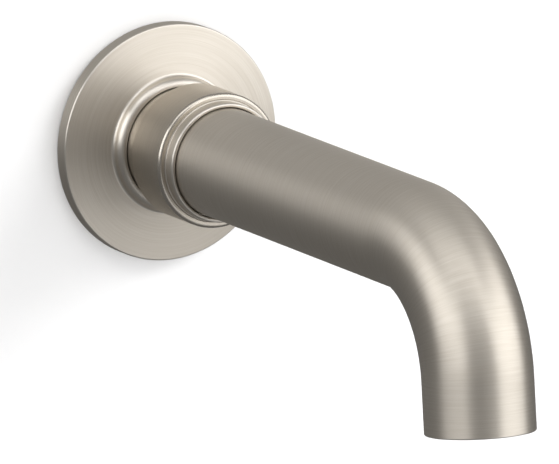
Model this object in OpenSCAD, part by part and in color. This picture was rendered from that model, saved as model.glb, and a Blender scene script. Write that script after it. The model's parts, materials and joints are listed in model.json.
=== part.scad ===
// Wall mounted bath spout.
// The wall is the XZ plane, +Y runs into the wall, -Y out into the room and +Z is up.
// The origin is the centre of the threaded supply inlet, at the finished wall.
// Turned parts are drawn as [radius, distance from the wall] outlines.

/* [Spout tube] */
// Outside diameter of the tube
tube_d = 32; // [31.8:0.1:32.2]
// Wall thickness of the tube
tube_wall = 1.6; // [1.5:0.1:1.6]
// Distance from the wall to the start of the bend
bend_start = 146.5; // [110:0.5:200]
// Centreline radius of the bend
bend_radius = 38.5; // [34:0.5:60]
// Angle of the bend, in degrees
bend_angle = 84; // [75:1:90]
// Straight length below the bend
leg_length = 15; // [15:0.5:40]

/* [Wall flange] */
// Outside diameter of the wall flange
flange_d = 69.8; // [68:0.2:90]
// Height of the flange's rim off the wall
flange_t = 4.5; // [4:0.1:5]
// Distance from the wall to the crest of the flange's raised boss
boss_crest = 10; // [9.8:0.1:10.2]
// Distance from the wall to the foot of the boss, so that the flange's face rises to it
face_foot = 6.55; // [6:0.05:7]

/* [Hub] */
// Outside diameter of the hub's head
hub_d = 39.7; // [39.4:0.1:40.2]
// Diameter of the hub's neck, which the flange slides on
neck_d = 34.5; // [34:0.1:34.6]
// Distance from the wall to the back of the hub's head
head_back = 17.5; // [17:0.1:18]
// Distance from the wall to the hub's front face
hub_front = 33.5; // [33:0.1:36]
// Distance that the nut's lip stands in front of the hub
lip_height = 3.7; // [3:0.1:5]

/* [Inlet] */
// Wall radius of the tapped inlet, at the crests of a 1/2 inch pipe thread
inlet_r = 9.25; // [9.2:0.01:9.3]
// Depth of the inlet thread
inlet_depth = 15; // [13:0.5:16]

/* [Set screw] */
// Thread diameter of the set screw
screw_d = 5; // [4:0.5:5]
// Distance from the wall to the set screw
screw_at = 13.8; // [13.4:0.1:14]

/* [Hidden] */

$fn = 96;
eps = 0.01;          // overshoot of a cut past a face
running = 0.05;      // radial clearance between parts that turn or slide on each other
touch = 0.02;        // radial clearance between parts that are fixed together
arc_steps = 8;       // straight steps in a rounded corner
bevel = 0.5;         // chamfer at the mouth of a bore

// adapter
adapter_r = 14;
adapter_end = 24.4;
flow_r = 7.5;        // round waterway ahead of the inlet thread
key_af = 15;         // hexagonal socket for the fitting key
key_depth = 6.4;
ring_section = 1.5;  // O-ring cord diameter
ring_groove_w = 1.9;
ring_seats = [19.9, 22.5];
ring_floor_r = adapter_r - ring_section;
grip_w = 4.6;        // groove that the set screw's point lies in
grip_depth = 0.8;
grip_floor_r = adapter_r - grip_depth;

// hub
hub_r = hub_d / 2;
hub_back = 0.4;
hub_bore_r = adapter_r + running;
neck_r = neck_d / 2;
hub_edge = 1.0;      // rounding of the hub's front edge
head_edge = 0.15;    // chamfer at the back of the head
nut_r = 18;
nut_seat = 24.9;     // inner shoulder that the tube seal lies on

// tube
tube_r = tube_d / 2;
tube_bore_r = tube_r - tube_wall;

// stack inside the hub, from the wall outwards
seal_t = 1.2;
seal_in = 0.4;       // how far the seal stays clear of the hub's bore
seal_out = 0.8;      // how far it stays clear of the counterbore
ferrule_back = nut_seat + seal_t;
ferrule_t = 3;
tube_back = ferrule_back + 1.5;
washer_back = ferrule_back + ferrule_t;
washer_t = 0.8;
nut_back = washer_back + washer_t;
pin_r = 1;
ferrule_r = nut_r - 0.2;
tube_slip_r = tube_r + 0.1;  // bore of the washer and the nut, which turn round the tube

// nut
lip_r = 17.55;       // outside of the lip
lip_bore_r = 16.35;  // the narrow gap round the tube
lip_round = (lip_r - lip_bore_r) / 2;
lip_front = hub_front + lip_height;
lip_fillet = 0.4;

// flange
flange_r = flange_d / 2;
flange_edge = 0.4;
flange_bore_r = neck_r + 0.25;
boss_r = hub_r + 0.05;
boss_fillet = 1;
boss_round = 2.2;
face_slope = atan((face_foot - flange_t) / (flange_r - flange_edge - boss_r - boss_fillet));
inner_edge = 0.3;    // sharp inner edge of the boss
ring_squeeze = 1.35; // height of the squeezed O-ring in the flange
gasket_in = 22.2;
gasket_out = 31.5;
gasket_t = 2;
flange_ring_seat = 6.4;
flange_groove_r = flange_bore_r + ring_squeeze;

// outlet, measured up from the mouth along the leg
sleeve_back = 1;
sleeve_len = 13;
sleeve_bore_r = 12;
ledge_r = 10.4;
ledge_t = 2;
shell_back = 1.4;
shell_len = 8;
shell_bore_r = 10.5;
shell_lip_r = 9.4;
shell_lip_t = 1.2;
insert_slip = 0.08;  // radial clearance of the plates in the shell
insert_r = shell_bore_r - insert_slip;
screen_holes = [0.7, 2.1, 4];  // hole radius, pitch and number of rings
comb_holes = [1.2, 2.9, 3];
outlet_screen_t = 0.4;
spacer_t = 0.6;
straightener_t = 4.8;
inlet_screen_t = 0.6;
washer_in = 9.6;
key_notches = 4;
notch_w = 2;
notch_depth = 1;

// Points of a circular arc, from angle a0 to a1.
function arc(cx, cy, r, a0, a1, n = arc_steps) =
    [for (i = [0:n]) let (a = a0 + (a1 - a0) * i / n) [cx + r * cos(a), cy + r * sin(a)]];

// Turns a [radius, distance from the wall] outline about the inlet's axis.
module turned(outline) {
    rotate([90, 0, 0]) rotate_extrude() polygon(outline);
}

// A plain ring from distance a to b, between two radii.
module ring(inner, outer, a, b) {
    turned([[inner, a], [outer, a], [outer, b], [inner, b]]);
}

// An O-ring about the inlet's axis.
module o_ring(centre_r, at, section_r) {
    rotate([90, 0, 0]) translate([0, 0, at]) rotate_extrude()
        translate([centre_r, 0]) circle(r = section_r, $fn = 32);
}

// Places children about the bend's centre, turned to the bend's end:
// the leg starts at [0, 0, bend_radius] and runs along -Y.
module at_bend_end() {
    translate([0, -bend_start, -bend_radius]) rotate([bend_angle, 0, 0]) children();
}

// Places children at the outlet: local Z runs from the mouth back up the leg.
module at_mouth() {
    at_bend_end() translate([0, -leg_length, bend_radius]) rotate([-90, 0, 0]) children();
}

// A ring at the outlet from distance a to b above the mouth.
module mouth_ring(inner, outer, a, b) {
    at_mouth() rotate_extrude() polygon([[inner, a], [outer, a], [outer, b], [inner, b]]);
}

// A disc drilled with rings of round holes in a honeycomb pattern.
module drilled_disc(r, a, b, holes) {
    hole_r = holes[0];
    pitch = holes[1];
    rings = holes[2];
    at_mouth() difference() {
        translate([0, 0, a]) cylinder(r = r, h = b - a);
        for (i = [-rings:rings], j = [max(-rings, -rings - i):min(rings, rings - i)])
            translate([pitch * (i + j / 2), pitch * j * sin(60), a - eps])
                cylinder(r = hole_r, h = b - a + 2 * eps, $fn = 24);
    }
}

// Points into the radial hole under the hub: local Z runs down and away from the axis.
module at_screw() {
    translate([0, -screw_at, 0]) rotate([180, 0, 0]) children();
}

// Brass adapter that screws on to the supply nipple and carries the spout.
module adapter() color("goldenrod") {
    chamfer = 0.6;
    groove = ring_groove_w / 2;
    grip_from = screw_at - grip_w / 2;
    grip_to = screw_at + grip_w / 2;
    difference() {
        turned(concat(
            [[inlet_r, 0], [adapter_r - chamfer, 0], [adapter_r, chamfer],
             [adapter_r, grip_from], [grip_floor_r, grip_from],
             [grip_floor_r, grip_to], [adapter_r, grip_to]],
            [for (seat = ring_seats, p = [[adapter_r, seat - groove], [ring_floor_r, seat - groove],
                                          [ring_floor_r, seat + groove], [adapter_r, seat + groove]]) p],
            [[adapter_r, adapter_end - chamfer], [adapter_r - chamfer, adapter_end],
             [flow_r, adapter_end], [flow_r, inlet_depth], [inlet_r, inlet_depth]]));
        rotate([90, 0, 0]) translate([0, 0, adapter_end - key_depth])
            cylinder(d = key_af / cos(30), h = key_depth + eps, $fn = 6);
    }
}

// Rubber O-ring squeezed between the adapter's groove and the hub's bore.
module adapter_ring(seat) color("dimgray") {
    inner = ring_floor_r + touch;
    outer = hub_bore_r - touch;
    o_ring((inner + outer) / 2, seat, (outer - inner) / 2);
}

// Round flange that covers the hole in the wall, with a raised boss round the hub.
module wall_flange() color([0.70, 0.67, 0.62]) {
    groove = ring_groove_w / 2;
    turned(concat(
        [[gasket_out, 0], [flange_r, 0]],
        arc(flange_r - flange_edge, flange_t - flange_edge, flange_edge, 0, 90 - face_slope),
        arc(boss_r + boss_fillet, face_foot + boss_fillet, boss_fillet, 270 - face_slope, 180),
        arc(boss_r - boss_round, boss_crest - boss_round, boss_round, 0, 85),
        [[flange_bore_r, boss_crest - inner_edge]],
        [[flange_bore_r, flange_ring_seat + groove], [flange_groove_r, flange_ring_seat + groove],
         [flange_groove_r, flange_ring_seat - groove], [flange_bore_r, flange_ring_seat - groove],
         [flange_bore_r, hub_back], [flange_bore_r + hub_back, 0],
         [gasket_in, 0], [gasket_in, gasket_t], [gasket_out, gasket_t]]));
}

// Closed-cell foam ring in the flange's back, squeezed flush by the wall.
module wall_gasket() color("darkslategray")
    ring(gasket_in + touch, gasket_out - touch, 0, gasket_t);

// Rubber O-ring that grips the hub's neck inside the flange.
module flange_o_ring() color("dimgray") {
    inner = neck_r + touch;
    outer = flange_groove_r - touch;
    o_ring((inner + outer) / 2, flange_ring_seat, (outer - inner) / 2);
}

// Hub that slides over the adapter and takes the tube in its front.
module hub_sleeve() color([0.66, 0.63, 0.58]) {
    mouth_chamfer = 0.25;
    difference() {
        turned(concat(
            [[hub_bore_r + bevel, hub_back], [neck_r - bevel, hub_back], [neck_r, hub_back + bevel],
             [neck_r, head_back], [hub_r - head_edge, head_back], [hub_r, head_back + head_edge]],
            arc(hub_r - hub_edge, hub_front - hub_edge, hub_edge, 0, 90),
            [[nut_r + mouth_chamfer, hub_front], [nut_r, hub_front - mouth_chamfer],
             [nut_r, nut_seat], [hub_bore_r, nut_seat], [hub_bore_r, hub_back + bevel]]));
        at_screw() cylinder(d = screw_d + 2 * running, h = hub_d);
        index_hole(touch);
    }
}

// The hole of the index pin, half in the hub and half in the ferrule.
module index_hole(clearance) {
    translate([0, 0, nut_r]) rotate([90, 0, 0]) translate([0, 0, ferrule_back])
        cylinder(r = pin_r + clearance, h = ferrule_t, $fn = 32);
}

// Rubber face seal between the hub's inner shoulder and the ferrule.
module tube_seal() color("dimgray")
    ring(hub_bore_r + seal_in, nut_r - seal_out, nut_seat, ferrule_back);

// Brass ferrule brazed over the tube's inlet end.
module tube_ferrule() color("goldenrod")
    difference() {
        turned([[tube_bore_r, ferrule_back], [ferrule_r, ferrule_back], [ferrule_r, washer_back],
                [tube_r + touch, washer_back], [tube_r + touch, tube_back], [tube_bore_r, tube_back]]);
        index_hole(touch);
    }

// Steel pin that holds the outlet square to the hub.
module index_pin() color("silver")
    translate([0, 0, nut_r]) rotate([90, 0, 0]) translate([0, 0, ferrule_back])
        cylinder(r = pin_r, h = ferrule_t, $fn = 32);

// Nylon washer that lets the nut turn against the ferrule.
module thrust_washer() color("ivory")
    ring(tube_slip_r, ferrule_r, washer_back, nut_back);

// Nut in the hub's front, with a thin rounded lip round the tube.
module spout_nut() color([0.70, 0.67, 0.62]) {
    lip_foot = hub_front + lip_fillet;
    bore_step = hub_front - 0.5;
    nut_outer = nut_r - running;
    nut_edge = 0.2;
    turned(concat(
        [[tube_slip_r, nut_back], [nut_outer, nut_back], [nut_outer, hub_front - nut_edge],
         [nut_outer - nut_edge, hub_front]],
        arc(lip_r + lip_fillet, lip_foot, lip_fillet, 270, 180, 4),
        arc(lip_r - lip_round, lip_front - lip_round, lip_round, 0, 180, 12),
        [[lip_bore_r, bore_step], [tube_slip_r, bore_step]]));
}

// The tube's solid path at one radius, with both ends run on by extra.
module tube_path(r, extra) {
    rotate([90, 0, 0]) translate([0, 0, tube_back - extra])
        cylinder(r = r, h = bend_start - tube_back + extra);
    // this half turn sends the ring's X to +Z, its Y to -Y and its axis to +X
    translate([0, -bend_start, -bend_radius]) rotate(a = 180, v = [1, 0, 1])
        rotate_extrude(angle = bend_angle) translate([bend_radius, 0]) circle(r = r);
    at_mouth() translate([0, 0, -extra]) cylinder(r = r, h = leg_length + extra);
}

// Bent tube that carries the water out and turns it down.
module spout_tube() color([0.66, 0.63, 0.58]) {
    skin = 0.4;
    key_half = 1;
    difference() {
        tube_path(tube_r, 0);
        tube_path(tube_bore_r, eps);
    }
    // a ring within the wall keys the bend and the leg together
    difference() {
        at_mouth() translate([0, 0, leg_length - key_half])
            cylinder(r = tube_r - skin, h = 2 * key_half);
        at_mouth() translate([0, 0, leg_length - 2 * key_half])
            cylinder(r = tube_bore_r + skin, h = 4 * key_half);
    }
}

// Threaded brass sleeve brazed inside the tube's mouth.
module outlet_sleeve() color("goldenrod") {
    top = sleeve_back + sleeve_len;
    at_mouth() rotate_extrude() polygon([
        [sleeve_bore_r + bevel, sleeve_back], [tube_bore_r - touch, sleeve_back], [tube_bore_r - touch, top],
        [ledge_r, top], [ledge_r, top - ledge_t], [sleeve_bore_r, top - ledge_t],
        [sleeve_bore_r, sleeve_back + bevel]]);
}

// Dog-point set screw under the hub's neck, drawn tight in the adapter's groove.
module set_screw() color("silver") {
    tip = grip_floor_r + 0.06;
    head = tip + 3;
    dog_r = screw_d / 2 - 0.8;
    thread_from = hub_bore_r + 0.15;
    edge = 0.3;
    screw_r = screw_d / 2;
    socket_depth = 1.5;
    key_d = 2.5;
    at_screw() difference() {
        rotate_extrude() polygon([[0, tip], [dog_r - edge, tip],
                                  [dog_r, tip + edge], [dog_r, thread_from],
                                  [screw_r - edge, thread_from], [screw_r, thread_from + edge],
                                  [screw_r, head - edge], [screw_r - edge, head], [0, head]]);
        translate([0, 0, head - socket_depth]) cylinder(d = key_d / cos(30), h = socket_depth + eps, $fn = 6);
    }
}

// Levels of the stream straightener's stack above the mouth.
screen_low = shell_back + shell_lip_t;
spacer_low = screen_low + outlet_screen_t;
straightener_low = spacer_low + spacer_t;
inlet_screen_low = straightener_low + straightener_t;
shell_top = shell_back + shell_len;
ledge_low = sleeve_back + sleeve_len - ledge_t;

// Rubber washer between the shell and the sleeve's ledge.
module outlet_washer() color("dimgray")
    mouth_ring(washer_in, sleeve_bore_r - 0.1, shell_top, ledge_low);

// Perforated plate that the water meets first.
module inlet_screen() color("silver")
    drilled_disc(insert_r, inlet_screen_low, inlet_screen_low + inlet_screen_t, screen_holes);

// Honeycomb that takes the swirl out of the stream.
module flow_straightener() color("whitesmoke")
    drilled_disc(insert_r, straightener_low, inlet_screen_low, comb_holes);

// Plain ring that keeps the honeycomb off the outlet screen.
module spacer_ring() color("whitesmoke")
    mouth_ring(washer_in, insert_r, spacer_low, straightener_low);

// Perforated plate that the stream leaves through.
module outlet_screen() color("silver")
    drilled_disc(insert_r, screen_low, spacer_low, screen_holes);

// Threaded shell of the stream straightener, notched for its key.
module straightener_shell() color("gainsboro")
    at_mouth() difference() {
        rotate_extrude() polygon([
            [shell_lip_r, shell_back], [sleeve_bore_r - running, shell_back],
            [sleeve_bore_r - running, shell_top], [shell_bore_r, shell_top],
            [shell_bore_r, screen_low], [shell_lip_r, screen_low]]);
        for (i = [0:key_notches - 1]) rotate([0, 0, 45 + i * 360 / key_notches])
            translate([shell_bore_r - 0.2, -notch_w / 2, shell_back - eps])
                cube([notch_w, notch_w, notch_depth]);
    }

adapter();
adapter_ring(ring_seats[0]);  // adapter_o_ring_rear
adapter_ring(ring_seats[1]);  // adapter_o_ring_front
wall_flange();
wall_gasket();
flange_o_ring();
hub_sleeve();
tube_seal();
tube_ferrule();
index_pin();
thrust_washer();
spout_nut();
spout_tube();
outlet_sleeve();
set_screw();
outlet_washer();
inlet_screen();
flow_straightener();
spacer_ring();
outlet_screen();
straightener_shell();
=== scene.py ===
"""Detailed visual model of a wall mounted bath spout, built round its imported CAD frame.

The wall is the XZ plane. The spout stands out of it along -Y and turns down at its end. Sizes in
the profiles are millimetres: a profile point is [radius, station], where the station is the
distance along the piece's own axis, and the meshes are in metres.
"""

import json
import logging
import math
from dataclasses import dataclass, field
from enum import Enum
from typing import Callable, Optional, Protocol, Sequence

import bpy
import numpy as np
from mathutils import Matrix, Vector


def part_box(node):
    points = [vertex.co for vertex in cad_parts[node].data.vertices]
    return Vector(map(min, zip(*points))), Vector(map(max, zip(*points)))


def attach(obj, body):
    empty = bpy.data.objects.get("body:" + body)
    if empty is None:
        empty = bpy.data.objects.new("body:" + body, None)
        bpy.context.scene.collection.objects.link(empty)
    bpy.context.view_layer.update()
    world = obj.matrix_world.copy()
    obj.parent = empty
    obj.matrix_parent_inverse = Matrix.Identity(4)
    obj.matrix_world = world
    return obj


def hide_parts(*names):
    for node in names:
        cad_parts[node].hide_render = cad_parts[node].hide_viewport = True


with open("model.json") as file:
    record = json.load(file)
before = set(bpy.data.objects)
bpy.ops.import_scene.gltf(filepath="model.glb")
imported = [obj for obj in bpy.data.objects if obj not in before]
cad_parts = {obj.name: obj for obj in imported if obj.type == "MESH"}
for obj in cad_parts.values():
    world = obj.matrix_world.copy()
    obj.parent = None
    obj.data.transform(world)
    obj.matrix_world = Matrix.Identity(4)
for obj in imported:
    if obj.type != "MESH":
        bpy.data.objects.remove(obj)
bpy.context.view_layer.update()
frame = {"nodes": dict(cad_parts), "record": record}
LOG = logging.getLogger("bath_spout")
MM = 0.001
FULL_TURN = 2 * math.pi
SHARP_ANGLE = math.radians(32)
SUPPORT = 0.04  # distance in mm of the support ring beside each rounded edge
HAIR, CRISP, EASED, SOFT = 0.02, 0.05, 0.1, 0.2  # roundings of edges in mm, HAIR being the least
ON_WALL = 0.01  # how near in mm a profile point's radius is to a wall that it lies on
NOISE_RANGE = (0.25, 0.75)  # the part of a noise texture's range that holds nearly all of it

Triple = tuple[float, float, float]
Corner = Triple  # radius, station, rounding
Colour = Triple  # red, green, blue
Piece = bpy.types.Object
Socket = bpy.types.NodeSocket
Grid = np.ndarray


# ---------- axes


class Axis(Protocol):
    """Anything that a round profile can be carried along."""

    def place(self, radius: Grid, station: Grid, angle: Grid) -> Grid:
        """Points at a radius and angle about the axis, at a station along it."""


@dataclass(frozen=True)
class StraightAxis:
    """A straight axis in the YZ plane.

    Args:
        start: the point of station 0, in mm.
        along: unit vector of rising station.
    """

    start: Triple
    along: Triple

    def place(self, radius: Grid, station: Grid, angle: Grid) -> Grid:
        """Start + station * along + radius * (cos(angle) * up + sin(angle) * X).

        Up is square to the axis and to X.

        Args:
            radius: distances from the axis, in mm.
            station: distances along the axis, in mm.
            angle: turns about the axis, in radians.

        Returns:
            The points, with a last axis of length 3.
        """
        along = np.array(self.along)
        side = np.array([1.0, 0.0, 0.0])
        up = np.cross(along, side)
        out = np.cos(angle)[..., None] * up + np.sin(angle)[..., None] * side
        return np.array(self.start) + station[..., None] * along + radius[..., None] * out


@dataclass(frozen=True)
class BentAxis:
    """The spout tube's centreline: straight out of the wall, then a bend, then a straight leg."""

    bend_start: float = 146.5
    bend_radius: float = 38.5
    bend_angle: float = math.radians(84)
    leg_length: float = 15.0

    @property
    def length(self) -> float:
        """Station of the outlet end."""
        return self.bend_start + self.bend_radius * self.bend_angle + self.leg_length

    def place(self, radius: Grid, station: Grid, angle: Grid) -> Grid:
        """The turn is (station - bend start) / bend radius, held between 0 and the bend's angle.

        The centre is the arc's point at that turn, plus the rest of the station along the tangent.

        Args:
            radius: distances from the centreline, in mm.
            station: distances along the centreline from the wall, in mm.
            angle: turns about the centreline, in radians.

        Returns:
            The points, with a last axis of length 3.
        """
        turn = np.clip((station - self.bend_start) / self.bend_radius, 0.0, self.bend_angle)
        rest = station - self.bend_start - self.bend_radius * turn
        zero = np.zeros_like(turn)
        tangent = np.stack([zero, -np.cos(turn), -np.sin(turn)], axis=-1)
        normal = np.stack([zero, -np.sin(turn), np.cos(turn)], axis=-1)
        pivot = np.array([0.0, -self.bend_start, -self.bend_radius])
        centre = pivot + self.bend_radius * normal + rest[..., None] * tangent
        side = np.array([1.0, 0.0, 0.0])
        out = np.cos(angle)[..., None] * normal + np.sin(angle)[..., None] * side
        return centre + radius[..., None] * out


INLET_AXIS = StraightAxis(start=(0.0, 0.0, 0.0), along=(0.0, -1.0, 0.0))


def outlet_axis() -> StraightAxis:
    """The axis that runs from the outlet's mouth up the leg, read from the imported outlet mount."""
    mount = next(m for m in frame["record"]["mounts"] if m["name"] == "outlet_spigot")
    start = tuple(v / MM for v in mount["pos_m"])
    return StraightAxis(start=start, along=tuple(-v for v in mount["axis"]))


# ---------- profiles


@dataclass(frozen=True)
class Profile:
    """A closed outline of [radius, station] points, with how polished each point is."""

    points: Grid
    polish_and_highlight: Grid


def rounded(corners: Sequence[Corner], steps: int) -> Profile:
    """Rounds each corner of an outline with an arc that touches both of its sides.

    An arc's centre lies on the corner's bisector at rounding / sin(half angle), and its ends lie
    rounding / tan(half angle) along the sides. A support point past each end keeps the sides flat.

    Args:
        corners: the outline's corners in order, as radius, station and rounding.
        steps: the number of straight steps in each arc.

    Returns:
        The rounded outline, with its arcs marked as polished.
    """
    table = np.array(corners, float)
    corner, fillet = table[:, :2], np.maximum(table[:, 2], HAIR)[:, None]
    back = np.roll(corner, 1, axis=0) - corner
    ahead = np.roll(corner, -1, axis=0) - corner
    back /= np.linalg.norm(back, axis=1, keepdims=True)
    ahead /= np.linalg.norm(ahead, axis=1, keepdims=True)
    half = np.arccos(np.clip((back * ahead).sum(axis=1, keepdims=True), -1, 1)) / 2
    cut = fillet / np.tan(half)
    bisector = back + ahead
    bisector /= np.linalg.norm(bisector, axis=1, keepdims=True)
    centre = corner + bisector * fillet / np.sin(half)
    first = corner + back * cut - centre
    last = corner + ahead * cut - centre
    start = np.arctan2(first[:, 1], first[:, 0])[:, None]
    sweep = np.arctan2(last[:, 1], last[:, 0])[:, None] - start
    sweep = (sweep + math.pi) % FULL_TURN - math.pi
    turn = start + sweep * np.linspace(0, 1, steps + 1)
    arc = centre[:, None] + fillet[:, None] * np.stack([np.cos(turn), np.sin(turn)], axis=-1)
    before = (corner + back * (cut + SUPPORT))[:, None]
    after = (corner + ahead * (cut + SUPPORT))[:, None]
    rows = np.concatenate([before, arc, after], axis=1)
    # Arcs are marked 1: polished, and lighter in colour as a painted highlight.
    polish_and_highlight = np.zeros(rows.shape[:2])
    polish_and_highlight[:, 1:-1] = 1.0
    return Profile(rows.reshape(-1, 2), polish_and_highlight.reshape(-1))


def refined(profile: Profile, step: float) -> Profile:
    """Adds points to an outline's long sides, an even distance apart along its length.

    Args:
        profile: the outline.
        step: the largest distance between its points, in mm.

    Returns:
        The outline with its own points and the added ones, by linear interpolation on its length.
    """
    closed = np.vstack([profile.points, profile.points[:1]])
    shine = np.append(profile.polish_and_highlight, profile.polish_and_highlight[0])
    length = np.concatenate([[0], np.cumsum(np.linalg.norm(np.diff(closed, axis=0), axis=1))])
    even = np.arange(0, length[-1], step)
    near = np.abs(even[:, None] - length).min(axis=1) < step / 4
    wanted = np.union1d(length[:-1], even[~near])
    points = np.stack([np.interp(wanted, length, closed[:, k]) for k in range(2)], axis=-1)
    return Profile(points, np.interp(wanted, length, shine))


# ---------- shaping of a turned wall


class Cut(Enum):
    """Which way a screw thread is cut into a wall."""

    OUTWARD = 1.0
    INWARD = -1.0


@dataclass(frozen=True)
class Thread:
    """A screw thread on one wall of a profile.

    Args:
        radius: the wall that carries it, in mm.
        start: the station where it starts.
        end: the station where it ends.
        depth: its depth, in mm.
        cut: whether its grooves run away from the axis or towards it.
        pitch: the distance between turns, in mm.
    """

    radius: float
    start: float
    end: float
    depth: float
    cut: Cut
    pitch: float = 1.0

    def shape(self, radius: Grid, station: Grid, angle: Grid) -> Grid:
        """Depth times a flattened triangle wave of station / pitch - angle / turn.

        The wave is steepened and lowered, then held between 0 and 1, which flattens its crests and
        roots. It fades over one pitch at each end.

        Args:
            radius: the profile's radii on the grid.
            station: the profile's stations on the grid.
            angle: the turns on the grid.

        Returns:
            The radii with the grooves cut.
        """
        steepness, lowered = 1.25, 0.12
        phase = (station / self.pitch - angle / FULL_TURN) % 1.0
        groove = np.clip(steepness * (1 - np.abs(2 * phase - 1)) - lowered, 0, 1)
        fade_in = np.clip((station - self.start) / self.pitch, 0, 1)
        fade_out = np.clip((self.end - station) / self.pitch, 0, 1)
        on_wall = np.abs(radius - self.radius) < ON_WALL
        change = self.cut.value * self.depth * groove * (fade_in * fade_out)
        return radius + np.where(on_wall, change, 0)


@dataclass(frozen=True)
class HexSocket:
    """A hexagonal key socket: the wall at one radius follows a hexagon instead of a circle."""

    radius: float
    across_flats: float

    def shape(self, radius: Grid, station: Grid, angle: Grid) -> Grid:
        """Half the distance across flats / cos(angle from the middle of the nearest flat).

        Args:
            radius: the profile's radii on the grid.
            station: the profile's stations on the grid, not used.
            angle: the turns on the grid.

        Returns:
            The radii with the hexagon.
        """
        sixth = FULL_TURN / 6
        from_flat = (angle + sixth / 2) % sixth - sixth / 2
        hexagon = self.across_flats / 2 / np.cos(from_flat)
        return np.where(np.abs(radius - self.radius) < ON_WALL, hexagon, radius)


Shaper = Callable[[Grid, Grid, Grid], Grid]


# ---------- meshes


@dataclass(frozen=True)
class Surface:
    """A closed surface on a grid: rows follow a profile and columns go round an axis.

    Args:
        place: the points in mm, rows by columns by 3.
        grain: brushing coordinates: a slow turn round the axis, then the length along the profile.
        polish_and_highlight: how polished each row is, which also sets how much painted highlight it
            gets.
        length: the length along the profile at each row, in mm.
    """

    place: Grid
    grain: Grid
    polish_and_highlight: Grid
    length: Grid


def carried(
    profile: Profile,
    axis: Axis,
    columns: int,
    shapers: Sequence[Shaper] = (),
    lift: Optional[Shaper] = None,
) -> Surface:
    """Carries a closed profile round an axis.

    Point (row, column) lies at the row's radius and station, turned by the column's angle.

    Args:
        profile: the closed outline of radius and station.
        axis: what it turns about.
        columns: the number of steps round the axis.
        shapers: functions that change the radii, such as a thread.
        lift: a function that gives a rise in station, such as a notch.

    Returns:
        The surface.
    """
    angle = np.linspace(0, FULL_TURN, columns, endpoint=False)
    radius, turn = np.meshgrid(profile.points[:, 0], angle, indexing="ij")
    station = np.meshgrid(profile.points[:, 1], angle, indexing="ij")[0]
    rise = lift(radius, station, turn) if lift else np.zeros_like(station)
    for shaper in shapers:
        radius = shaper(radius, station, turn)
    place = axis.place(radius, station + rise, turn)
    edge = np.diff(np.vstack([profile.points[:1], profile.points]), axis=0)
    length = np.cumsum(np.linalg.norm(edge, axis=1))
    along = np.repeat(length[:, None], columns, axis=1)
    grain = np.stack([np.cos(turn), np.sin(turn), along], axis=-1)
    return Surface(place, grain, profile.polish_and_highlight, length)


def make_mesh(name: str, surface: Surface) -> Piece:
    """Makes a closed mesh object of a surface whose rows and columns both wrap round.

    Args:
        name: the object's name.
        surface: the grid of points.

    Returns:
        The object, at the origin, its faces outwards. It has the UV map "turned" and the attributes
        "grain" and "polish".
    """
    rows, columns = surface.place.shape[:2]
    point = surface.place.reshape(-1, 3) * MM
    row, column = np.meshgrid(np.arange(rows), np.arange(columns), indexing="ij")
    next_row, next_column = (row + 1) % rows, (column + 1) % columns
    quad = np.stack(
        [row * columns + column, row * columns + next_column,
         next_row * columns + next_column, next_row * columns + column], axis=-1).reshape(-1, 4)
    span = np.append(surface.length, surface.length[-1] + 1.0)
    across = np.stack([column, column + 1, column + 1, column], axis=-1).reshape(-1, 4) / columns
    along = span[np.stack([row, row, row + 1, row + 1], axis=-1)].reshape(-1, 4) * MM
    uv = np.stack([across, along], axis=-1)
    first, second, third, fourth = (point[quad[:, k]] for k in range(4))
    volume = (first * np.cross(second, third)).sum() + (first * np.cross(third, fourth)).sum()
    if volume < 0:
        quad, uv = quad[:, ::-1], uv[:, ::-1]
    mesh = bpy.data.meshes.new(name)
    mesh.from_pydata(point.tolist(), [], quad.tolist())
    layer = mesh.uv_layers.new(name="turned")
    layer.data.foreach_set("uv", np.ascontiguousarray(uv, np.float32).ravel())
    grain = mesh.attributes.new("grain", "FLOAT_VECTOR", "POINT")
    grain.data.foreach_set("vector", surface.grain.astype(np.float32).ravel())
    polish_and_highlight = mesh.attributes.new("polish_and_highlight", "FLOAT", "POINT")
    polish_and_highlight.data.foreach_set("value", np.repeat(surface.polish_and_highlight, columns).astype(np.float32))
    mesh.shade_smooth()
    mesh.set_sharp_from_angle(angle=SHARP_ANGLE)
    mesh.update()
    made = bpy.data.objects.new(name, mesh)
    bpy.context.scene.collection.objects.link(made)
    return made


@dataclass(frozen=True)
class Detail:
    """How finely a piece's surface is divided.

    Args:
        arc_steps: number of steps in each rounded corner.
        row_step: largest distance between rows along the profile, in mm.
        columns: number of steps round the axis.
    """

    arc_steps: int
    row_step: float
    columns: int


def turned_piece(
    name: str,
    corners: Sequence[Corner],
    axis: Axis,
    detail: Detail,
    shapers: Sequence[Shaper] = (),
    lift: Optional[Shaper] = None,
) -> Piece:
    """Rounds an outline, divides it, carries it round an axis and makes its mesh.

    Args:
        name: the object's name.
        corners: the outline's corners, as radius, station and rounding.
        axis: what it turns about.
        detail: how finely it is divided.
        shapers: functions that change the radii, such as a thread.
        lift: a function that gives a rise in station, such as a notch.

    Returns:
        The object.
    """
    profile = refined(rounded(corners, detail.arc_steps), detail.row_step)
    return make_mesh(name, carried(profile, axis, detail.columns, shapers, lift))


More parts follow.
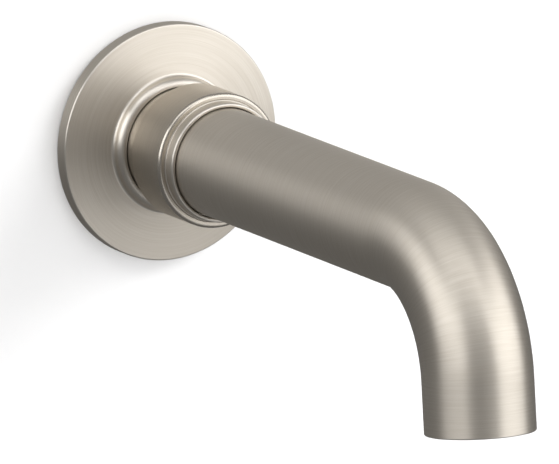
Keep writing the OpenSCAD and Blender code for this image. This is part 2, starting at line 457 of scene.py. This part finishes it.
def drilled(target: Piece, radius: float, start: Vector, end: Vector) -> None:
    """Drills a round hole through a mesh, from one point to another, and keeps its attributes.

    Args:
        target: the object to drill.
        radius: the hole's radius, in mm.
        start: one end of the drill's axis, in mm.
        end: the other end.
    """
    sides = 64
    axis = end - start
    turn = axis.to_track_quat("Z", "Y").to_matrix().to_4x4()
    angle = np.linspace(0, FULL_TURN, sides, endpoint=False)
    ring = np.stack([radius * np.cos(angle), radius * np.sin(angle), np.zeros(sides)], axis=-1)
    points = np.vstack([ring, ring + [0, 0, axis.length]])
    near = np.arange(sides)
    far = np.roll(near, -1)
    walls = np.stack([near, far, far + sides, near + sides], axis=-1).tolist()
    drill_mesh = bpy.data.meshes.new("drill")
    caps = [near[::-1].tolist(), (near + sides).tolist()]
    drill_mesh.from_pydata(points.tolist(), [], walls + caps)
    drill_mesh.transform(Matrix.Scale(MM, 4) @ Matrix.Translation(start) @ turn)
    drill = bpy.data.objects.new("drill", drill_mesh)
    bpy.context.scene.collection.objects.link(drill)
    cut = target.modifiers.new("drill", "BOOLEAN")
    cut.object, cut.operation, cut.solver = drill, "DIFFERENCE", "EXACT"
    bpy.context.view_layer.update()
    shown = target.evaluated_get(bpy.context.evaluated_depsgraph_get())
    result = bpy.data.meshes.new_from_object(shown)
    target.modifiers.clear()
    target.data = result
    target.data.set_sharp_from_angle(angle=SHARP_ANGLE)
    bpy.data.objects.remove(drill)


# ---------- finishes


class NodeSheet:
    """A material's node tree, with short ways to add and join its nodes."""

    def __init__(self, name: str) -> None:
        """Starts a material that holds a Principled shader.

        Args:
            name: the material's name.
        """
        self.material = bpy.data.materials.new(name)
        self.material.use_nodes = True
        self.tree = self.material.node_tree
        self.shader = self.tree.nodes["Principled BSDF"]

    def add(self, kind: str, **settings: object) -> bpy.types.Node:
        """Adds a node and sets its properties."""
        node = self.tree.nodes.new(kind)
        for key, value in settings.items():
            setattr(node, key, value)
        return node

    def join(self, out: Socket, into: Socket) -> None:
        """Links one socket to another."""
        self.tree.links.new(out, into)

    def scaled_sum(
        self, value: Socket, factor: float, rest: Optional[Socket] = None, clamped: bool = False
    ) -> Socket:
        """Returns value * factor + rest, held between 0 and 1 if clamped."""
        node = self.add("ShaderNodeMath", operation="MULTIPLY_ADD", use_clamp=clamped)
        self.join(value, node.inputs[0])
        node.inputs[1].default_value = factor
        node.inputs[2].default_value = 0.0
        if rest:
            self.join(rest, node.inputs[2])
        return node.outputs[0]

    def stretched(self, source: Socket, scale: Triple) -> Socket:
        """Scales a vector by a factor for each axis, and returns the scaled socket."""
        node = self.add("ShaderNodeMapping")
        node.inputs["Scale"].default_value = scale
        self.join(source, node.inputs["Vector"])
        return node.outputs["Vector"]

    def noise(self, vector: Socket, scale: float, detail: float, rough: float = 0.6) -> Socket:
        """Adds a noise texture on a vector, and returns its value socket."""
        node = self.add("ShaderNodeTexNoise")
        node.inputs["Scale"].default_value = scale
        node.inputs["Detail"].default_value = detail
        node.inputs["Roughness"].default_value = rough
        self.join(vector, node.inputs["Vector"])
        return node.outputs["Fac"]

    def spread(self, value: Socket, low: float, high: float) -> Socket:
        """Maps the middle of a noise's range to a range of numbers, and returns the result."""
        node = self.add("ShaderNodeMapRange")
        node.inputs["From Min"].default_value = NOISE_RANGE[0]
        node.inputs["From Max"].default_value = NOISE_RANGE[1]
        node.inputs["To Min"].default_value = low
        node.inputs["To Max"].default_value = high
        self.join(value, node.inputs["Value"])
        return node.outputs["Result"]

    def blended(self, factor: Socket, first: Colour, second: Colour) -> Socket:
        """Blends two colours by a factor, and returns the colour socket."""
        node = self.add("ShaderNodeMix", data_type="RGBA")
        colour_a, colour_b = [socket for socket in node.inputs if socket.type == "RGBA"]
        colour_a.default_value = (*first, 1)
        colour_b.default_value = (*second, 1)
        self.join(factor, node.inputs["Factor"])
        return next(socket for socket in node.outputs if socket.type == "RGBA")

    def bump(self, height: Socket, strength: float, distance: float) -> None:
        """Raises the surface by a height, up to a distance in metres."""
        node = self.add("ShaderNodeBump")
        node.inputs["Strength"].default_value = strength
        node.inputs["Distance"].default_value = distance
        self.join(height, node.inputs["Height"])
        self.join(node.outputs["Normal"], self.shader.inputs["Normal"])


@dataclass(frozen=True)
class BrushedMetal:
    """Metal brushed with fine lines that run round each turned wall.

    Args:
        name: the material's name.
        bright: colour of the lightest lines, and of the rounded edges, which are painted towards it as
            a painted highlight.
        deep: colour between the lines.
        roughness: lowest and highest roughness across the lines.
        anisotropy: how much the shine stretches across the lines.
        lines: number of noise cells per mm across the fine lines.
        along: number of cells per mm along the fine and the broad lines.
        widening: how many times wider the broad lines are.
        clouding: number of clouds per metre.
        shares: how much the fine lines, the broad lines and the clouds each count.
        brightest: how close the lightest lines come to the bright colour.
        painted_edge_highlight: how much lighter the rounded edges are painted, a painted highlight.
        edge_smoothing: how much less rough the polished edges are.
        relief: height of the lines, in metres.
        firmness: strength of the relief.
    """

    name: str
    bright: Colour
    deep: Colour
    roughness: tuple[float, float] = (0.38, 0.50)
    anisotropy: float = 0.65
    lines: float = 9.0
    along: tuple[float, float] = (1.3, 0.9)
    widening: float = 5.0
    clouding: float = 38.0
    shares: Triple = (0.45, 0.43, 0.12)
    brightest: float = 0.8
    painted_edge_highlight: float = 0.45
    edge_smoothing: float = 0.07
    relief: float = 0.000016
    firmness: float = 0.6

    def made(self) -> bpy.types.Material:
        """Builds the material: noise stretched round the axis sets colour, roughness and relief."""
        quarter_turn = 0.25
        sheet = NodeSheet(self.name)
        shader = sheet.shader
        shader.inputs["Metallic"].default_value = 1.0
        shader.inputs["Anisotropic"].default_value = self.anisotropy
        shader.inputs["Anisotropic Rotation"].default_value = quarter_turn
        grain = sheet.add("ShaderNodeAttribute", attribute_name="grain").outputs["Vector"]
        fine_run, broad_run = self.along
        broad_lines = self.lines / self.widening
        fine = sheet.noise(sheet.stretched(grain, (fine_run, fine_run, self.lines)), 1.0, 3.0)
        broad = sheet.noise(sheet.stretched(grain, (broad_run, broad_run, broad_lines)), 1.0, 3.0)
        place = sheet.add("ShaderNodeTexCoord").outputs["Object"]
        cloud = sheet.noise(place, self.clouding, 2.0)
        clouds = sheet.scaled_sum(cloud, self.shares[2])
        wide = sheet.scaled_sum(broad, self.shares[1], clouds)
        mixed = sheet.scaled_sum(fine, self.shares[0], wide)
        # The rounded edges' mask lowers roughness for their real polish and lightens their colour as a
        # painted highlight.
        polish_and_highlight = sheet.add("ShaderNodeAttribute", attribute_name="polish_and_highlight").outputs["Fac"]
        lightness = sheet.spread(mixed, 0.0, self.brightest)
        # Painted highlight: the rounded edges' colour is lifted towards the bright colour.
        tone = sheet.scaled_sum(polish_and_highlight, self.painted_edge_highlight, lightness, True)
        sheet.join(sheet.blended(tone, self.deep, self.bright), shader.inputs["Base Color"])
        rough = sheet.spread(mixed, *reversed(self.roughness))
        smooth = sheet.scaled_sum(polish_and_highlight, -self.edge_smoothing, rough, True)
        sheet.join(smooth, shader.inputs["Roughness"])
        tangent = sheet.add("ShaderNodeTangent", direction_type="UV_MAP", uv_map="turned")
        sheet.join(tangent.outputs["Tangent"], shader.inputs["Tangent"])
        sheet.bump(mixed, self.firmness, self.relief)
        return sheet.material


@dataclass(frozen=True)
class PlainMetal:
    """Bare turned metal, with lathe marks along one axis and a faint tarnish.

    Args:
        name: the material's name.
        clean: colour of the bare metal.
        tarnished: colour of the duller spots.
        roughness: lowest and highest roughness.
        marks: number of lathe marks per metre, along each axis.
        spots: number of tarnished spots per metre.
        relief: height of the marks, in metres.
        firmness: strength of the relief.
    """

    name: str
    clean: Colour
    tarnished: Colour
    roughness: tuple[float, float] = (0.2, 0.42)
    marks: Triple = (150, 5200, 150)
    spots: float = 210.0
    relief: float = 0.00001
    firmness: float = 0.12

    def made(self) -> bpy.types.Material:
        """Builds the material from clouds of tarnish and fine marks, both on Object coordinates."""
        sheet = NodeSheet(self.name)
        sheet.shader.inputs["Metallic"].default_value = 1.0
        place = sheet.add("ShaderNodeTexCoord").outputs["Object"]
        marks = sheet.noise(sheet.stretched(place, self.marks), 1.0, 2.0)
        cloud = sheet.noise(place, self.spots, 4.0)
        sheet.join(sheet.blended(cloud, self.clean, self.tarnished), sheet.shader.inputs["Base Color"])
        sheet.join(sheet.spread(cloud, *self.roughness), sheet.shader.inputs["Roughness"])
        sheet.bump(marks, self.firmness, self.relief)
        return sheet.material


@dataclass(frozen=True)
class Moulded:
    """A moulded plastic, rubber or foam with a fine skin.

    Args:
        name: the material's name.
        light: the lighter colour.
        dark: the darker colour.
        roughness: lowest and highest roughness.
        cell: number of texture cells per metre.
        relief: height of the texture, in metres.
        patches: number of lighter patches per metre.
        firmness: strength of the relief.
    """

    name: str
    light: Colour
    dark: Colour
    roughness: tuple[float, float]
    cell: float
    relief: float
    patches: float = 90.0
    firmness: float = 0.5

    def made(self) -> bpy.types.Material:
        """Builds the material from a fine skin and broad clouds, both on Object coordinates."""
        sheet = NodeSheet(self.name)
        place = sheet.add("ShaderNodeTexCoord").outputs["Object"]
        skin = sheet.noise(place, self.cell, 3.0)
        cloud = sheet.noise(place, self.patches, 2.0)
        sheet.join(sheet.blended(cloud, self.light, self.dark), sheet.shader.inputs["Base Color"])
        sheet.join(sheet.spread(skin, *self.roughness), sheet.shader.inputs["Roughness"])
        sheet.bump(skin, self.firmness, self.relief)
        return sheet.material


class Finish(Enum):
    """The finishes of the spout's pieces, each named by its slot in the record."""

    BRUSHED_NICKEL = "brushed_nickel"
    BRASS = "brass"
    RUBBER = "o_ring_rubber"
    FOAM = "gasket_foam"
    NYLON = "white_nylon"
    STAINLESS = "stainless_steel"
    ACETAL = "insert_plastic"


class Finishes:
    """Every finish, built once and handed to the pieces."""

    def __init__(self) -> None:
        """Builds the materials."""
        self.turned = {
            Finish.BRUSHED_NICKEL: BrushedMetal(
                "brushed_nickel", (0.80, 0.755, 0.69), (0.62, 0.565, 0.485)).made(),
            Finish.BRASS: BrushedMetal(
                "turned_brass", (0.86, 0.68, 0.36), (0.66, 0.48, 0.22), (0.18, 0.32), 0.4, 5.0).made(),
        }
        # A darker copy of the nickel for the hub: its darker colours are painted shade, its finer
        # lines and lower roughness are its own finish.
        self.shaded_fine_nickel = BrushedMetal(
            "shaded_fine_nickel", (0.66, 0.615, 0.55), (0.52, 0.47, 0.40), (0.26, 0.38), 0.45, 14.0).made()
        self.plain = {
            Finish.BRASS: PlainMetal("bare_brass", (0.83, 0.64, 0.33), (0.58, 0.42, 0.20)).made(),
            Finish.STAINLESS: PlainMetal(
                "stainless_steel", (0.72, 0.72, 0.73), (0.55, 0.55, 0.56)).made(),
            Finish.RUBBER: Moulded(
                "black_rubber", (0.03, 0.03, 0.03), (0.018, 0.018, 0.018), (0.4, 0.6), 2600,
                2e-5).made(),
            Finish.FOAM: Moulded(
                "closed_cell_foam", (0.06, 0.06, 0.065), (0.025, 0.025, 0.03), (0.75, 0.95), 1500,
                1.2e-4).made(),
            Finish.NYLON: Moulded(
                "natural_nylon", (0.86, 0.85, 0.80), (0.78, 0.77, 0.72), (0.35, 0.5), 900,
                1e-5).made(),
            Finish.ACETAL: Moulded(
                "grey_acetal", (0.66, 0.66, 0.66), (0.58, 0.58, 0.58), (0.3, 0.45), 1200, 1e-5).made(),
        }

    def dress(self, piece: Piece, finish: Finish) -> None:
        """Gives a piece its turned finish where it has brushing coordinates, or else its plain one.

        Args:
            piece: the object.
            finish: its finish.
        """
        has_grain = "grain" in piece.data.attributes
        choice = self.turned if has_grain and finish in self.turned else self.plain
        self.paint(piece, choice[finish])

    def paint(self, piece: Piece, material: bpy.types.Material) -> None:
        """Gives a piece one material and no other."""
        piece.data.materials.clear()
        piece.data.materials.append(material)


def settle(piece: Piece, node: str, body: str, finish: Finish, finishes: Finishes) -> None:
    """Puts a finished piece in the place of its CAD node, on its body, and reports it.

    Args:
        piece: the detailed piece.
        node: the CAD node that it stands for.
        body: the body that it moves with.
        finish: its finish.
        finishes: the built finishes.
    """
    finishes.dress(piece, finish)
    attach(piece, body)
    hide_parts(node)
    LOG.info("%s: %d vertices on %s", piece.name, len(piece.data.vertices), body)


def keep(nodes: dict[str, Finish], finishes: Finishes) -> None:
    """Dresses the CAD nodes whose shapes are right as they are.

    Args:
        nodes: the finish of each node.
        finishes: the built finishes.
    """
    for name, finish in nodes.items():
        finishes.dress(frame["nodes"][name], finish)
        LOG.info("%s: CAD node in %s", name, finish.value)


# ---------- sub-assemblies


@dataclass
class WallAdapter:
    """Brass adapter on the supply nipple, with its two O-rings."""

    radius: float = 14.0
    inlet_radius: float = 9.25
    inlet_depth: float = 15.0
    flow_radius: float = 7.5
    end: float = 24.4
    socket_flats: float = 15.0
    socket_depth: float = 6.4
    socket_slack: float = 0.4
    grip_station: float = 13.8
    grip_width: float = 4.6
    grip_depth: float = 0.8
    ring_seats: tuple[float, ...] = (19.9, 22.5)
    groove_width: float = 1.9
    groove_depth: float = 1.5
    thread_pitch: float = 1.814
    thread_depth: float = 1.1
    thread_margins: tuple[float, float] = (0.3, 1.0)
    groove_edge: float = 0.12
    groove_corner: float = 0.08
    detail: Detail = Detail(4, 0.16, 144)

    def groove(self, station: float, width: float, depth: float) -> list[Corner]:
        """Corners of a square groove round the outside, at a station, with its rounded edges."""
        near, far, floor = station - width / 2, station + width / 2, self.radius - depth
        edge, corner = self.groove_edge, self.groove_corner
        return [
            (self.radius, near, edge), (floor, near, corner),
            (floor, far, corner), (self.radius, far, edge)]

    def adapter(self) -> Piece:
        """Builds the adapter: a grooved barrel with a tapped inlet and a hexagonal key socket.

        Returns:
            The adapter's object.
        """
        socket_radius = self.socket_flats / 2 + self.socket_slack
        socket_start = self.end - self.socket_depth
        corners: list[Corner] = [(self.inlet_radius, 0, CRISP), (self.radius, 0, 0.5)]
        corners += self.groove(self.grip_station, self.grip_width, self.grip_depth)
        for seat in self.ring_seats:
            corners += self.groove(seat, self.groove_width, self.groove_depth)
        corners += [
            (self.radius, self.end, 0.4), (socket_radius, self.end, CRISP),
            (socket_radius, socket_start, CRISP), (self.flow_radius, socket_start, HAIR),
            (self.flow_radius, self.inlet_depth, EASED), (self.inlet_radius, self.inlet_depth, EASED)]
        start, end = self.thread_margins[0], self.inlet_depth - self.thread_margins[1]
        thread = Thread(
            self.inlet_radius, start, end, self.thread_depth, Cut.OUTWARD, self.thread_pitch)
        socket = HexSocket(socket_radius, self.socket_flats)
        shapers = [thread.shape, socket.shape]
        return turned_piece("adapter_barrel", corners, INLET_AXIS, self.detail, shapers)

    def build(self, finishes: Finishes) -> None:
        """Makes and dresses the adapter and its rings."""
        settle(self.adapter(), "adapter", "wall_adapter", Finish.BRASS, finishes)
        keep({"adapter_o_ring_rear": Finish.RUBBER, "adapter_o_ring_front": Finish.RUBBER}, finishes)


@dataclass
class WallFlange:
    """Round flange with a raised boss, its foam gasket and its O-ring."""

    rim_height: float = 4.44
    rim_round: float = 0.5
    boss_radius: float = 19.9
    boss_foot: float = 6.7
    boss_round: float = 2.2
    bore_radius: float = 17.5
    groove_radius: float = 18.85
    groove: tuple[float, float] = (5.45, 7.35)
    recess: tuple[float, float] = (22.2, 31.5)
    recess_depth: float = 2.0
    back_chamfer: float = 0.4
    gasket_gap: float = 0.02
    detail: Detail = Detail(10, 0.8, 288)
    gasket_detail: Detail = Detail(7, 0.6, 192)

    def flange(self) -> Piece:
        """Builds the flange: a crowned face that rises from the rim to the boss.

        Returns:
            The flange's object.
        """
        low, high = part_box("wall_flange")
        rim, crest = high.x / MM, -low.y / MM
        corners: list[Corner] = [
            (self.recess[1], 0, CRISP), (rim, 0, EASED), (rim, self.rim_height, self.rim_round),
            (self.boss_radius, self.boss_foot, 1.0), (self.boss_radius, crest, self.boss_round),
            (self.bore_radius, crest, 0.12), (self.bore_radius, self.groove[1], CRISP),
            (self.groove_radius, self.groove[1], CRISP), (self.groove_radius, self.groove[0], CRISP),
            (self.bore_radius, self.groove[0], CRISP), (self.bore_radius, self.back_chamfer, HAIR),
            (self.bore_radius + self.back_chamfer, 0, HAIR), (self.recess[0], 0, CRISP),
            (self.recess[0], self.recess_depth, CRISP), (self.recess[1], self.recess_depth, CRISP)]
        return turned_piece("flange_disc", corners, INLET_AXIS, self.detail)

    def gasket(self) -> Piece:
        """Builds the foam ring, flush with the flange's back.

        Returns:
            The gasket's object.
        """
        inner, outer = self.recess[0] + self.gasket_gap, self.recess[1] - self.gasket_gap
        thick = self.recess_depth
        corners: list[Corner] = [
            (inner, 0, 0.25), (outer, 0, 0.25), (outer, thick, EASED), (inner, thick, EASED)]
        return turned_piece("foam_gasket", corners, INLET_AXIS, self.gasket_detail)

    def build(self, finishes: Finishes) -> None:
        """Makes and dresses the flange, its gasket and its O-ring."""
        settle(self.flange(), "wall_flange", "flange", Finish.BRUSHED_NICKEL, finishes)
        settle(self.gasket(), "wall_gasket", "flange", Finish.FOAM, finishes)
        keep({"flange_o_ring": Finish.RUBBER}, finishes)


@dataclass
class Hub:
    """Hub with its neck and head, the nut in its front and what they clamp."""

    bore_radius: float = 14.05
    back: float = 0.4
    neck_radius: float = 17.25
    head_back: float = 17.5
    front: float = 33.5
    nut_radius: float = 18.0
    nut_seat: float = 24.9
    screw_station: float = 13.8
    screw_hole: float = 2.55
    drill_overrun: tuple[float, float] = (3.0, 1.0)
    nut_back: float = 29.9
    lip_radius: float = 17.55
    lip_bore: float = 16.35
    lip_round: float = 0.59
    tube_bore: float = 16.1
    nut_gap: float = 0.05
    gap_depth: float = 0.5
    detail: Detail = Detail(9, 0.8, 224)
    nut_detail: Detail = Detail(9, 0.5, 256)

    def hub(self) -> Piece:
        """Builds the hub, with the set screw's hole drilled through the underside of its neck.

        Returns:
            The hub's object.
        """
        head_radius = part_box("hub_sleeve")[1].x / MM
        corners: list[Corner] = [
            (self.bore_radius, self.back, 0.4), (self.neck_radius, self.back, 0.4),
            (self.neck_radius, self.head_back, 0.12), (head_radius, self.head_back, 0.14),
            (head_radius, self.front, 1.0), (self.nut_radius, self.front, SOFT),
            (self.nut_radius, self.nut_seat, EASED), (self.bore_radius, self.nut_seat, EASED)]
        hub = turned_piece("hub_barrel", corners, INLET_AXIS, self.detail)
        inside, outside = self.drill_overrun
        start = Vector((0, -self.screw_station, -self.bore_radius + inside))
        end = Vector((0, -self.screw_station, -self.neck_radius - outside))
        drilled(hub, self.screw_hole, start, end)
        return hub

    def nut(self) -> Piece:
        """Builds the nut, whose thin lip stands round the tube.

        Returns:
            The nut's object.
        """
        front = -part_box("spout_nut")[0].y / MM
        outer = self.nut_radius - self.nut_gap
        step = self.front - self.gap_depth
        corners: list[Corner] = [
            (self.tube_bore, self.nut_back, CRISP), (outer, self.nut_back, SOFT),
            (outer, self.front, 0.15), (self.lip_radius, self.front, 0.25),
            (self.lip_radius, front, self.lip_round), (self.lip_bore, front, self.lip_round),
            (self.lip_bore, step, CRISP), (self.tube_bore, step, CRISP)]
        return turned_piece("nut_lip", corners, INLET_AXIS, self.nut_detail)

    def build(self, finishes: Finishes) -> None:
        """Makes and dresses the hub, the nut and the pieces that they hold."""
        hub = self.hub()
        settle(hub, "hub_sleeve", "spout", Finish.BRUSHED_NICKEL, finishes)
        # The hub takes the darker nickel copy, whose colours are painted shade.
        finishes.paint(hub, finishes.shaded_fine_nickel)
        settle(self.nut(), "spout_nut", "spout", Finish.BRUSHED_NICKEL, finishes)
        keep({
            "tube_seal": Finish.RUBBER, "tube_ferrule": Finish.BRASS, "index_pin": Finish.STAINLESS,
            "thrust_washer": Finish.NYLON, "set_screw": Finish.STAINLESS}, finishes)


@dataclass
class SpoutTube:
    """The bent tube and the threaded sleeve inside its mouth."""

    radius: float = 16.0
    bore: float = 14.4
    inlet_station: float = 27.6
    mouth_round: float = 0.35
    sleeve_back: float = 1.0
    sleeve_end: float = 14.0
    sleeve_gap: float = 0.02
    sleeve_bore: float = 12.0
    ledge_station: float = 12.0
    ledge_bore: float = 10.4
    thread_depth: float = 0.5
    thread_margins: tuple[float, float] = (0.4, 0.6)
    detail: Detail = Detail(8, 1.2, 192)
    sleeve_detail: Detail = Detail(5, 0.14, 128)
    path: BentAxis = field(default_factory=BentAxis)

    def tube(self) -> Piece:
        """Builds the tube as one wall carried along its bent centreline, with a softly rounded mouth.

        Returns:
            The tube's object.
        """
        end = self.path.length
        corners: list[Corner] = [
            (self.bore, self.inlet_station, SOFT), (self.radius, self.inlet_station, 0.3),
            (self.radius, end, self.mouth_round), (self.bore, end, self.mouth_round)]
        return turned_piece("bent_tube", corners, self.path, self.detail)

    def sleeve(self) -> Piece:
        """Builds the sleeve, with the thread that the outlet insert screws into.

        Returns:
            The sleeve's object.
        """
        outer = self.bore - self.sleeve_gap
        corners: list[Corner] = [
            (self.sleeve_bore, self.sleeve_back, 0.3), (outer, self.sleeve_back, 0.15),
            (outer, self.sleeve_end, EASED), (self.ledge_bore, self.sleeve_end, SOFT),
            (self.ledge_bore, self.ledge_station, EASED),
            (self.sleeve_bore, self.ledge_station, EASED)]
        below, above = self.thread_margins
        start, end = self.sleeve_back + below, self.ledge_station - above
        thread = Thread(self.sleeve_bore, start, end, self.thread_depth, Cut.OUTWARD)
        return turned_piece(
            "outlet_thread_sleeve", corners, outlet_axis(), self.sleeve_detail, [thread.shape])

    def build(self, finishes: Finishes) -> None:
        """Makes and dresses the tube and its sleeve."""
        settle(self.tube(), "spout_tube", "spout", Finish.BRUSHED_NICKEL, finishes)
        settle(self.sleeve(), "outlet_sleeve", "spout", Finish.BRASS, finishes)


@dataclass
class OutletInsert:
    """Stream straightener: a threaded shell that holds the screens and the honeycomb."""

    back: float = 1.4
    length: float = 8.0
    radius: float = 11.95
    bore: float = 10.5
    lip_bore: float = 9.4
    lip_depth: float = 1.2
    notches: int = 4
    notch_radius: float = 10.3
    notch_half_width: float = 1.0
    notch_depth: float = 1.0
    thread_depth: float = 0.5
    thread_margin: float = 0.4
    detail: Detail = Detail(6, 0.14, 288)

    def notch(self, radius: Grid, station: Grid, angle: Grid) -> Grid:
        """Raises the lower edge near each odd eighth of a turn, outside the notch radius.

        Args:
            radius: the profile's radii on the grid.
            station: the profile's stations on the grid.
            angle: the turns on the grid.

        Returns:
            The rise in station.
        """
        pitch = FULL_TURN / self.notches
        across = ((angle % pitch) - pitch / 2) * self.radius
        low = station < self.back + self.notch_depth
        inside = (np.abs(across) < self.notch_half_width) & (radius > self.notch_radius) & low
        return np.where(inside, self.back + self.notch_depth - station, 0)

    def shell(self) -> Piece:
        """Builds the shell, threaded outside and notched below for its key.

        Returns:
            The shell's object.
        """
        top, floor = self.back + self.length, self.back + self.lip_depth
        corners: list[Corner] = [
            (self.lip_bore, self.back, 0.25), (self.radius, self.back, 0.3), (self.radius, top, 0.15),
            (self.bore, top, EASED), (self.bore, floor, EASED), (self.lip_bore, floor, EASED)]
        end = top - self.thread_margin
        thread = Thread(self.radius, floor, end, self.thread_depth, Cut.INWARD)
        return turned_piece(
            "insert_shell", corners, outlet_axis(), self.detail, [thread.shape], self.notch)

    def build(self, finishes: Finishes) -> None:
        """Makes and dresses the shell and what it holds."""
        settle(self.shell(), "straightener_shell", "outlet_shell", Finish.ACETAL, finishes)
        keep({
            "outlet_washer": Finish.RUBBER, "inlet_screen": Finish.STAINLESS,
            "outlet_screen": Finish.STAINLESS, "flow_straightener": Finish.ACETAL,
            "spacer_ring": Finish.ACETAL}, finishes)


# ---------- studio


@dataclass(frozen=True)
class Softbox:
    """A soft panel light, aimed at the spout.

    Args:
        name: the light's name.
        place: where it hangs, in metres.
        size: its width and height, in metres.
        power: its power, in watts.
        mirrored: whether it shows in polished metal.
    """

    name: str
    place: Triple
    size: tuple[float, float]
    power: float
    mirrored: bool = True

    def hang(self, aim: Vector) -> None:
        """Makes the light and turns it to a point."""
        light = bpy.data.lights.new(self.name, "AREA")
        light.shape = "RECTANGLE"
        light.size, light.size_y = self.size
        light.energy = self.power
        made = bpy.data.objects.new(self.name, light)
        made.location = self.place
        made.visible_glossy = self.mirrored
        made.rotation_mode = "QUATERNION"
        made.rotation_quaternion = (aim - Vector(self.place)).to_track_quat("-Z", "Y")
        bpy.context.scene.collection.objects.link(made)


@dataclass
class Studio:
    """A pale wall and floor, soft panels and a long-lens camera."""

    aim: Vector = field(default_factory=lambda: Vector((-0.0122, -0.0914, -0.0085)))
    azimuth: float = math.radians(-29.05)
    elevation: float = math.radians(12.47)
    distance: float = 5.7167
    lens: float = 1288.0
    sensor: float = 36.0
    wall_gap: float = 0.0004
    wall_reach: float = 0.9
    floor_reach: float = 3.0
    floor_drop: float = 0.42
    panel_tones: tuple[Colour, Colour] = ((0.90, 0.90, 0.90), (0.87, 0.87, 0.875))
    panel_clouds: float = 6.0
    panel_roughness: float = 0.9
    sky_tint: Colour = (1.0, 0.99, 0.975)
    sky_heights: tuple[float, float] = (-0.55, 0.75)
    sky_strengths: tuple[float, float] = (0.14, 0.34)
    sky_seen: float = 1.0
    softboxes: tuple[Softbox, ...] = (
        Softbox("right_panel", (1.18, -1.30, 0.50), (2.2, 1.9), 20.5),
        Softbox("left_panel", (-1.42, -0.36, 0.54), (1.75, 1.1), 9.8),
        Softbox("low_panel", (0.50, -1.35, -0.72), (1.8, 0.8), 2.2),
        Softbox("top_panel", (-0.30, -0.75, 1.30), (1.6, 1.0), 6.2),
        Softbox("wall_wash", (1.15, -0.75, 0.85), (0.7, 0.7), 12.0, False),
    )

    def camera(self) -> None:
        """Places the camera on its bearing, far back with a long lens."""
        back = Vector((
            math.sin(self.azimuth) * math.cos(self.elevation),
            -math.cos(self.azimuth) * math.cos(self.elevation),
            math.sin(self.elevation)))
        data = bpy.data.cameras.new("camera")
        data.lens, data.sensor_width = self.lens, self.sensor
        data.clip_start, data.clip_end = 0.1, 100.0
        camera = bpy.data.objects.new("camera", data)
        camera.location = self.aim + back * self.distance
        camera.rotation_mode = "QUATERNION"
        camera.rotation_quaternion = (-back).to_track_quat("-Z", "Y")
        bpy.context.scene.collection.objects.link(camera)
        bpy.context.scene.camera = camera

    def backdrop(self, name: str, corners: Sequence[Triple]) -> None:
        """Adds a plain pale panel, clear from behind.

        Args:
            name: its name.
            corners: its four corners, in metres, in an order that makes its face point into the room.
        """
        sheet = NodeSheet(name)
        place = sheet.add("ShaderNodeTexCoord").outputs["Object"]
        tone = sheet.noise(place, self.panel_clouds, 2.0)
        sheet.join(sheet.blended(tone, *self.panel_tones), sheet.shader.inputs["Base Color"])
        sheet.shader.inputs["Roughness"].default_value = self.panel_roughness
        behind = sheet.add("ShaderNodeNewGeometry").outputs["Backfacing"]
        clear = sheet.add("ShaderNodeBsdfTransparent").outputs["BSDF"]
        mix = sheet.add("ShaderNodeMixShader")
        sheet.join(behind, mix.inputs[0])
        sheet.join(sheet.shader.outputs["BSDF"], mix.inputs[1])
        sheet.join(clear, mix.inputs[2])
        sheet.join(mix.outputs["Shader"], sheet.tree.nodes["Material Output"].inputs["Surface"])
        mesh = bpy.data.meshes.new(name)
        mesh.from_pydata([tuple(c) for c in corners], [], [(0, 1, 2, 3)])
        mesh.materials.append(sheet.material)
        panel = bpy.data.objects.new(name, mesh)
        panel.visible_glossy = False
        panel.visible_shadow = False
        bpy.context.scene.collection.objects.link(panel)

    def sky(self) -> None:
        """A soft surround: pale above, dim below, and plain pale where the camera sees it."""
        world = bpy.data.worlds.new("surround")
        world.use_nodes = True
        tree = world.node_tree
        background = tree.nodes["Background"]
        direction = tree.nodes.new("ShaderNodeTexCoord").outputs["Generated"]
        parts = tree.nodes.new("ShaderNodeSeparateXYZ")
        tree.links.new(direction, parts.inputs["Vector"])
        ramp = tree.nodes.new("ShaderNodeMapRange")
        ramp.interpolation_type = "SMOOTHSTEP"
        ramp.inputs["From Min"].default_value = self.sky_heights[0]
        ramp.inputs["From Max"].default_value = self.sky_heights[1]
        ramp.inputs["To Min"].default_value = self.sky_strengths[0]
        ramp.inputs["To Max"].default_value = self.sky_strengths[1]
        tree.links.new(parts.outputs["Z"], ramp.inputs["Value"])
        path = tree.nodes.new("ShaderNodeLightPath")
        mix = tree.nodes.new("ShaderNodeMix")
        tree.links.new(path.outputs["Is Camera Ray"], mix.inputs["Factor"])
        tree.links.new(ramp.outputs["Result"], mix.inputs["A"])
        mix.inputs["B"].default_value = self.sky_seen
        tree.links.new(mix.outputs["Result"], background.inputs["Strength"])
        background.inputs["Color"].default_value = (*self.sky_tint, 1)
        bpy.context.scene.world = world

    def build(self) -> None:
        """Sets up the whole studio."""
        gap, low, side, top = self.wall_gap, -self.floor_drop, self.wall_reach, self.floor_reach
        self.backdrop("wall", [
            (-side, gap, low), (side, gap, low),
            (side, gap, side), (-side, gap, side)])
        self.backdrop("floor", [
            (-top, -top, low), (top, -top, low),
            (top, top, low), (-top, top, low)])
        for softbox in self.softboxes:
            softbox.hang(self.aim)
        self.sky()
        self.camera()
        bpy.context.scene.view_settings.view_transform = "Standard"


def main() -> None:
    """Builds the studio and every sub-assembly in order."""
    logging.basicConfig(level=logging.INFO, format="%(message)s")
    Studio().build()
    finishes = Finishes()
    for assembly in (WallAdapter(), WallFlange(), Hub(), SpoutTube(), OutletInsert()):
        assembly.build(finishes)


if __name__ == "__main__":
    main()
